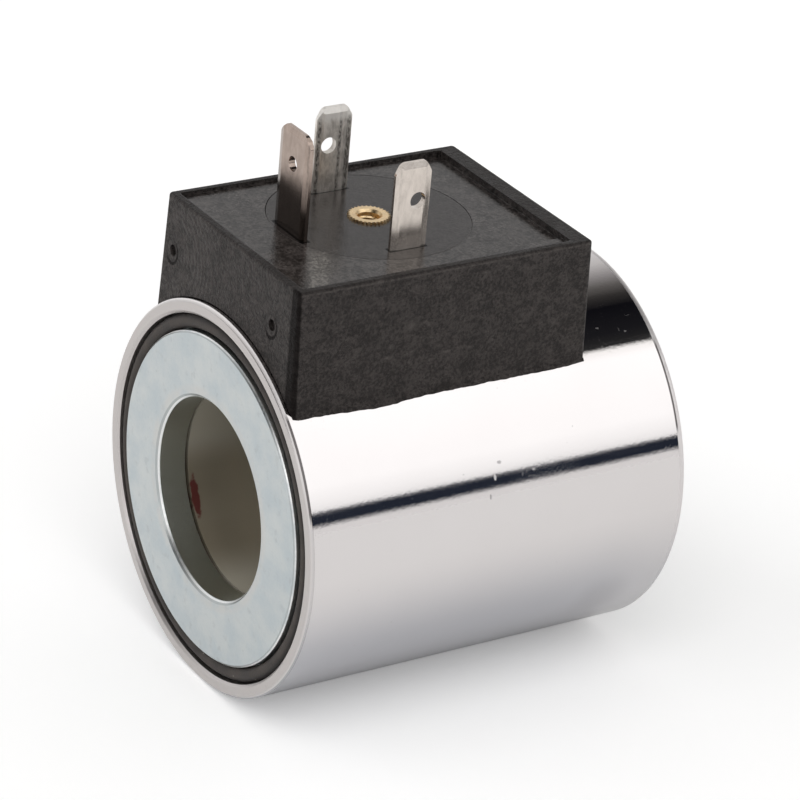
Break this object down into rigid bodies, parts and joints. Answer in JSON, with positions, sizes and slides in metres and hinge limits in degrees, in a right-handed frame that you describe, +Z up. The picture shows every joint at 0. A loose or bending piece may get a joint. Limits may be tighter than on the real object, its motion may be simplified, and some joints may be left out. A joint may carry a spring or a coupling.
{
  "type": "solenoid valve coil",
  "caption": "Round steel-cased solenoid coil with a through bore and a moulded connector block that carries blade contacts and a threaded nut for its plug.",
  "frame": {"origin": "middle of the bore's axis, halfway between the two end faces of the shell", "axes": "+Y along the bore towards the rear end, +Z up through the connector block, +X to the right seen from the front end"},
  "size_m": [0.045, 0.049, 0.0651],
  "materials": {
    "polished_steel": "polished",
    "zinc_plate": "satin zinc plating",
    "seal_rubber": "satin",
    "bobbin_plastic": "satin",
    "copper": "enamelled copper",
    "tape": "satin",
    "sleeving": "matt",
    "solder": "satin",
    "tinned_blade": "tin plated",
    "insert_brass": "machined",
    "carrier_plastic": "semi-gloss",
    "moulded_plastic": "fine texture"
  },
  "bodies": {
    "root": {"shell": "polished_steel", "front_plate": "zinc_plate", "rear_plate": "zinc_plate", "front_seal_ring": "seal_rubber", "rear_seal_ring": "seal_rubber", "bobbin": "bobbin_plastic", "winding": "copper", "winding_tape": "tape", "start_lead": "copper", "finish_lead": "copper", "start_sleeve": "sleeving", "finish_sleeve": "sleeving", "start_solder": "solder", "finish_solder": "solder", "line_terminal_left": "tinned_blade", "line_terminal_right": "tinned_blade", "ground_terminal": "tinned_blade", "ground_strap": "copper", "ground_rivet": "insert_brass", "screw_insert": "insert_brass", "terminal_carrier": "carrier_plastic", "moulded_body": "moulded_plastic"}
  },
  "joints": []
}
